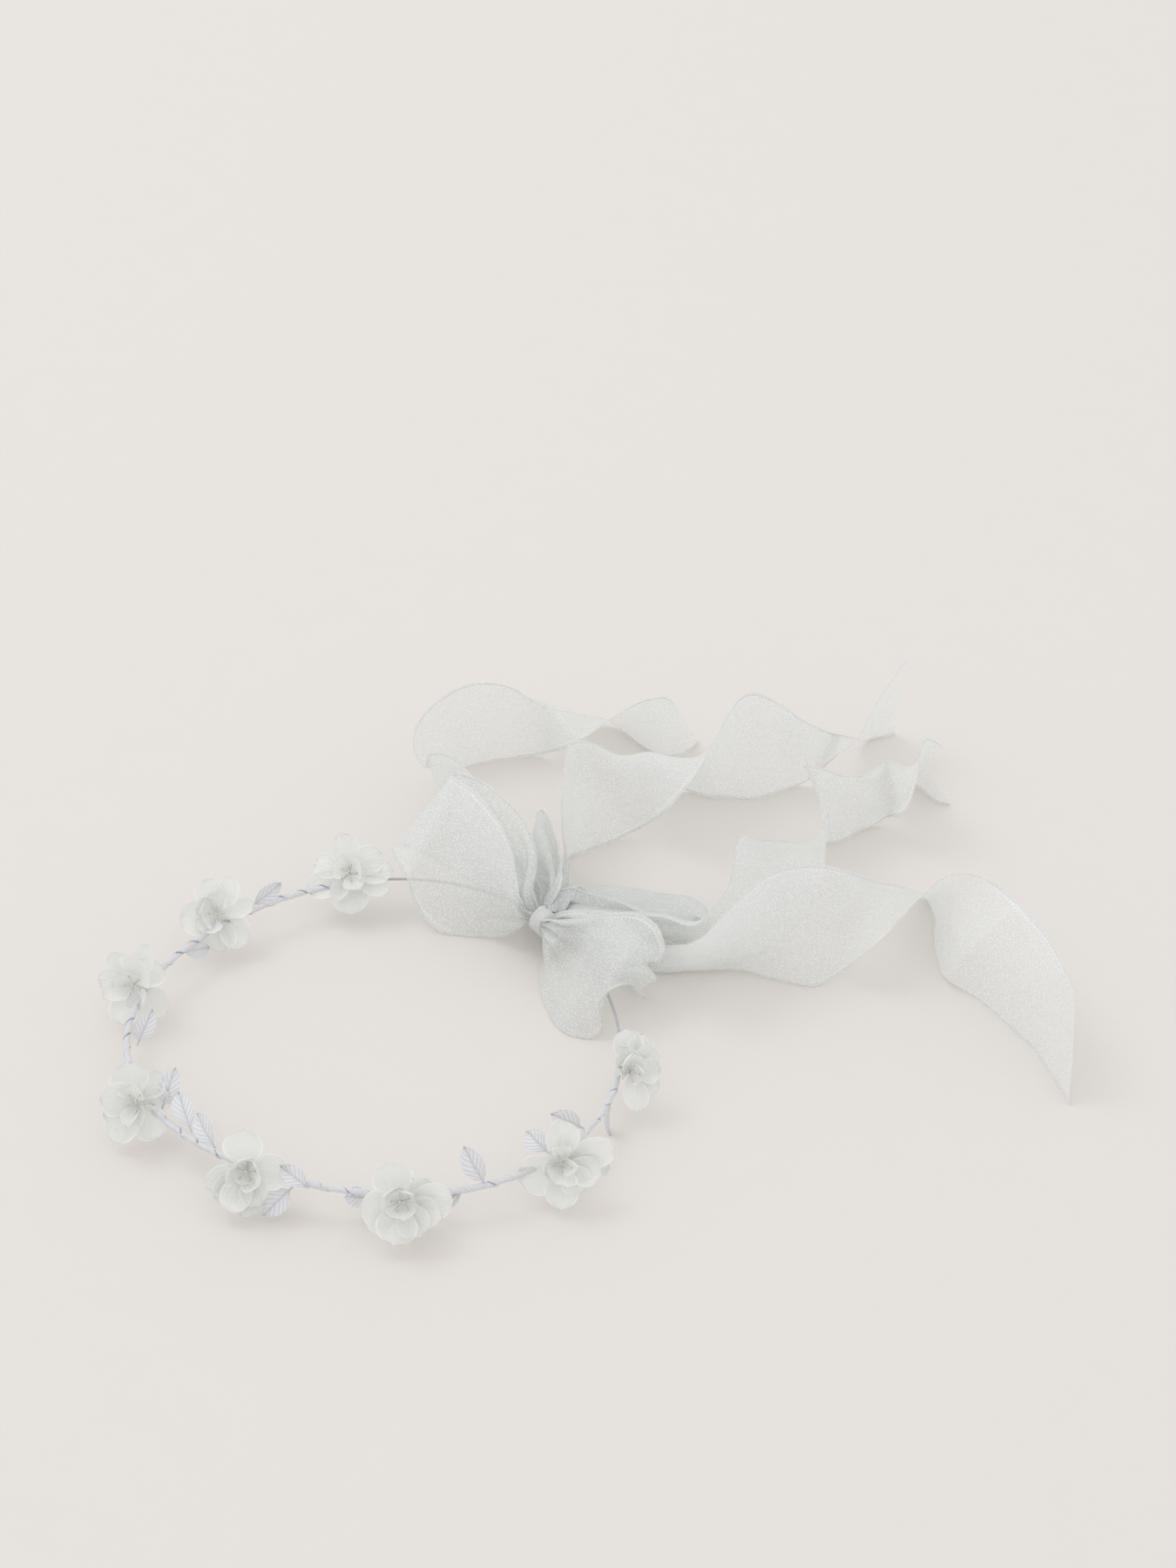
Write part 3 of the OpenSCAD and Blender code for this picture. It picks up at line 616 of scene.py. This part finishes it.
TAIL_4 = [
    [[55, 55, 13], [55, 55, 11]],
    [[62, 56, 15], [62, 57, 8]], [[74, 49, 13], [74, 51, 3]], [[87, 41, 14], [88, 45, 0]],
    [[102, 21, 32], [103, 45, 0]], [[114, 32, 38], [117, 45, 0]], [[126, 46, 40], [129, 40, 0]],
    [[139, 54, 38], [141, 36, 0]], [[151, 57, 34], [151, 40, 3]], [[166, 73, 16], [163, 37, 19]],
    [[181, 85, 2], [178, 54, 25]], [[185, 75, 0], [188, 54, 34]], [[184, 59, 0], [198, 48, 37]],
    [[186, 42, 0], [207, 40, 35]], [[196, 30, 0], [216, 22, 34]], [[206, 15, 0], [220, 5, 34]],
    [[214, 0, 0], [222, -5, 34]], [[221, -24, 0], [222, -11, 34]]
]
LOOP_LEFT = [
    [[48, 57, 15], [48, 56, 12]],
    [[45, 58, 17], [45, 57, 11]], [[43, 54, 29], [42, 59, 5]], [[42, 61, 36], [33, 62, 0]],
    [[38, 71, 41], [24, 63, 0]], [[33, 80, 43], [16, 65, 1]], [[29, 86, 44], [10, 69, 5]],
    [[26, 90, 44], [7, 70, 12]], [[22, 94, 44], [5, 71, 20]], [[20, 98, 43], [0, 83, 22]],
    [[24, 100, 42], [6, 91, 17]], [[32, 98, 39], [19, 90, 9]], [[41, 91, 35], [31, 83, 5]],
    [[46, 85, 30], [39, 75, 7]], [[48, 75, 25], [44, 68, 11]], [[46, 63, 20], [46, 64, 15]],
    [[48, 59, 15], [48, 59, 12]]
]
LOOP_LEFT_BACK = [
    [[53, 59, 15], [53, 59, 12]],
    [[55, 67, 18], [55, 68, 12]], [[54, 76, 27], [53, 77, 9]], [[51, 83, 31], [50, 88, 4]],
    [[49, 90, 32], [49, 94, 2]], [[51, 93, 32], [51, 96, 2]], [[54, 88, 31], [54, 92, 3]],
    [[56, 81, 27], [56, 82, 7]], [[57, 70, 21], [57, 71, 13]],
    [[54, 60, 15], [54, 60, 12]]
]
LOOP_RIGHT = [
    [[52, 53, 15], [52, 53, 12]],
    [[53, 50, 18], [53, 49, 11]], [[59, 42, 24], [51, 40, 8]], [[69, 41, 27], [51, 31, 2]],
    [[77, 41, 28], [54, 20, 0], [65, 28, 16]], [[84, 40, 28], [59, 12, 0], [69, 24, 18]],
    [[89, 36, 27], [66, 9, 0], [73, 20, 19]], [[91, 33, 25], [71, 10, 4], [75, 18, 20]],
    [[92, 30, 22], [70, 13, 12], [77, 18, 21]], [[91, 28, 20], [74, 14, 17], [80, 19, 21]],
    [[90, 28, 18], [81, 19, 15], [84, 22, 18]], [[89, 29, 18], [86, 24, 6]],
    [[86, 33, 21], [85, 29, 2]], [[75, 44, 24], [76, 43, 1]], [[67, 50, 21], [68, 50, 4]],
    [[60, 54, 18], [60, 55, 13]],
    [[55, 56, 15], [55, 56, 12]]
]
LOOP_RIGHT_BACK = [
    [[55, 59, 15], [55, 59, 12]],
    [[60, 64, 18], [60, 65, 12]], [[66, 62, 19], [66, 64, 4]], [[77, 59, 18], [77, 64, 1]],
    [[86, 56, 15], [87, 63, 1], [87, 65, 8]], [[95, 56, 13], [96, 63, 1], [97, 66, 7]],
    [[102, 57, 9], [102, 64, 1], [106, 66, 6]], [[99, 60, 10], [98, 69, 1], [101, 75, 6]],
    [[88, 62, 13], [86, 72, 1], [87, 79, 6]], [[70, 66, 15], [70, 73, 3], [71, 81, 8]],
    [[61, 70, 18], [61, 71, 12]],
    [[56, 61, 15], [56, 61, 12]]
]


def smooth(values, sigma):
    """Values along the ribbon, blurred over about sigma rings each way."""
    k = np.exp(-0.5 * (np.arange(-3 * sigma, 3 * sigma + 1) / sigma) ** 2)
    k = k / k.sum()
    v = values if values.ndim > 1 else values[:, None]
    v = np.pad(v, ((3 * sigma, 3 * sigma), (0, 0)), mode="edge")
    v = np.stack([np.convolve(v[:, c], k, "valid") for c in range(v.shape[1])], 1)
    return v if values.ndim > 1 else v[:, 0]


CLOTH_W = 38  # width of the ribbon between its hems


def ribbon(
    name, rows, body, node, seed, pleats, both_ends,
    notch=0.0, belly=0.75, reach_mm=24, tuck=0.6, ridge=(0, 0),
):
    """A hemmed ribbon through the rows of edge pairs. It is gathered at the knot into pleats of
    depth tuck, over about reach_mm. belly bulges it where its lines are shorter than the cloth,
    ridge is a crease (distance from the free end, height), and notch cuts a V of that depth
    out of the free end."""
    middles = [r[2] if len(r) > 2 else [(p + q) / 2 for p, q in zip(r[0], r[1])] for r in rows]
    rows = np.array([[r[0], r[1], m] for r, m in zip(rows, middles)], float)
    n_len, n_wid = 300, 27
    dense = np.linspace(0, len(rows) - 1, 1500)
    c = curve_through(rows, dense)
    mid = (c[:, 0] + c[:, 1]) / 2
    edge_step = sum(np.linalg.norm(np.diff(c[:, k], axis=0), axis=1) for k in (0, 1))
    s = np.concatenate([[0], np.cumsum(0.5 * edge_step)])
    total = s[-1]
    u = np.linspace(0, 1, n_wid)
    q = np.linspace(0, 1, n_len)
    reach = total - notch * (1 - np.abs(2 * u - 1))[None] * (q[:, None] ** 3)
    where = q[:, None] * reach
    t = np.interp(where, s, dense)
    g = curve_through(rows, t.ravel()).reshape(n_len, n_wid, 3, 3)
    e1, e2, m = g[:, :, 0], g[:, :, 1], g[:, :, 2]
    ctrl = 2 * m - (e1 + e2) / 2
    uu = u[None, :, None]
    pts = (1 - uu) ** 2 * e1 + 2 * uu * (1 - uu) * ctrl + uu**2 * e2
    way = unit(np.gradient(pts[:, n_wid // 2], axis=0))
    chord = pts[:, -1] - pts[:, 0]
    span = np.linalg.norm(chord, axis=1)
    normal = unit(np.cross(way, chord))
    for j in range(1, n_len):
        if np.dot(normal[j], normal[j - 1]) < 0:
            normal[j] = -normal[j]
    normal = unit(smooth(normal, 5))
    knot_way = q * total
    if both_ends:
        knot_way = np.minimum(knot_way, (1 - q) * total)
    gather = np.exp(-((knot_way / reach_mm) ** 2))
    width = np.linalg.norm(np.diff(pts, axis=1), axis=2).sum(1)
    used = np.minimum(width, CLOTH_W)
    spare = np.sqrt(np.maximum(0, CLOTH_W**2 - used**2))
    ph = seed * 1.7
    tight = np.clip((26 - span) / 10, 0, 1) * (1 - gather)
    depth = smooth(tuck * spare / (4 * pleats) * gather + 0.6 * np.exp(-((knot_way / 45) ** 2)), 4)
    wave = np.sin(2 * np.pi * pleats * u[None] + ph + 0.8 * np.sin(q[:, None] * 9 + ph))
    fold = smooth(belly * spare / 6 * tight, 9)
    roll = np.sin(3 * np.pi * u[None])
    sag = np.sqrt(np.maximum(0, 0.375 * width * (CLOTH_W - used)))
    sag = smooth(belly * sag * (1 - gather) * (1 - tight), 9)
    arch = np.sin(np.pi * u)[None]
    lift = depth[:, None] * wave + fold[:, None] * roll + sag[:, None] * arch
    crease = ridge[1] * np.exp(-np.abs(total - q * total - ridge[0]) / 9)
    lift = lift + crease[:, None] * arch**0.5
    lift = lift + 0.45 * field(pts, 16.0, seed) + 0.16 * field(pts, 5.0, seed + 7)
    rim = np.abs(2 * u - 1)[None] ** 6
    lift = lift + rim * 0.35 * field(pts, 7.0, seed + 3)
    pts = pts + lift[..., None] * normal[:, None]
    pts = pts @ LAY.T
    pts[..., 2] = np.maximum(pts[..., 2], 0.35)
    uv = np.stack(np.broadcast_arrays(u[None], where / 40), -1)
    o = grids_object(name, [(pts, uv)], ORGANZA)
    hems = []
    for side in (0, -1):
        near = pts[:, side]
        inward = unit(pts[:, 1 if side == 0 else -2] - near)
        ln = unit(np.gradient(near, axis=0))
        nn = unit(np.cross(ln, inward))
        a = np.linspace(0, 2 * np.pi, 9)[:-1]
        dist = np.concatenate([[0], np.cumsum(np.linalg.norm(np.diff(near, axis=0), axis=1))])
        half = 0.62 + 0.05 * np.sin(dist * 2 * np.pi / 3.1)[:, None, None]
        thick = 0.24 + 0.05 * np.sin(dist * 2 * np.pi / 1.6)[:, None, None]
        ca, sa = np.cos(a)[None, :, None], np.sin(a)[None, :, None]
        ringp = near[:, None] + inward[:, None] * (0.5 + half * ca) + nn[:, None] * thick * sa
        ringp[..., 2] = np.maximum(ringp[..., 2], 0.1)
        huv = np.stack(np.broadcast_arrays((a / 6.3)[None], (dist / 40)[:, None]), -1)
        hems.append((ringp, huv))
    h = grids_object(name + "_hem", hems, HEM, wrap=True)
    for x in (o, h):
        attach(x, body)
        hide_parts(node)


ribbon("bow_left_loop", LOOP_LEFT, "bow", "bow_loop_left", 1, 3.5, True, belly=0)
ribbon(
    "bow_left_back_loop", LOOP_LEFT_BACK, "bow", "bow_loop_left_back",
    2, 2, True, belly=0.15, reach_mm=14,
)
ribbon("bow_right_loop", LOOP_RIGHT, "bow", "bow_loop_right", 3, 3.5, True, belly=0.45)
ribbon(
    "bow_right_back_loop", LOOP_RIGHT_BACK, "bow", "bow_loop_right_back",
    4, 2, True, belly=0.4, reach_mm=16,
)
ribbon("tail_a", TAIL_1, "tail_1", "ribbon_tail_1", 5, 2.5, False, belly=0.1)
ribbon("tail_b", TAIL_2, "tail_2", "ribbon_tail_2", 6, 2.5, False, belly=0)
ribbon("tail_c", TAIL_3, "tail_3", "ribbon_tail_3", 7, 2.5, False, notch=9, belly=0.7)
ribbon("tail_d", TAIL_4, "tail_4", "ribbon_tail_4", 8, 2.5, False, belly=0, ridge=(60, 6))

# ---------------------------------------------------------------- knot
knot_at = np.array([-0.2, 75.6, 12.8])
kx = unit(np.array([0.995, -0.1, 0.0]))
kz = np.array([0.0, 0.0, 1.0])
ky = np.cross(kz, kx)
around = np.linspace(0, 2 * np.pi, 73)[:-1]
across = np.linspace(-1, 1, 25)
tuck = 0.35 * np.cos(across[:, None] * 9 + 0.7 * np.sin(around[None] * 2 + 1))
r = 3.7 + tuck + 0.5 * np.cos(across[:, None] * 1.5) + 0.25 * np.sin(around[None] * 3 + across[:, None] * 2)
r = r - 2.2 * np.clip(np.abs(across[:, None]) - 0.82, 0, 1) / 0.18 * 0.6
x = across[:, None] * 3.0 * (1 + 0.12 * np.cos(around[None] - 1.2))
knot = (
    knot_at + x[..., None] * kx + (r * np.cos(around)[None])[..., None] * ky * 0.95
    + (r * 1.12 * np.sin(around)[None])[..., None] * kz
)
uv = np.stack(np.broadcast_arrays((across[:, None] + 1) / 2, around[None] / 6.3), -1)
band = grids_object("knot_wrap", [(knot, uv)], SATIN, wrap=True)
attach(band, "bow")
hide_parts("bow_knot")

# ---------------------------------------------------------------- floor
me = bpy.data.meshes.new("floor")
me.from_pydata([(-6, -6, 0), (6, -6, 0), (6, 6, 0), (-6, 6, 0)], [], [(0, 1, 2, 3)])
me.materials.append(floor_material())
floor = bpy.data.objects.new("floor", me)
bpy.context.collection.objects.link(floor)
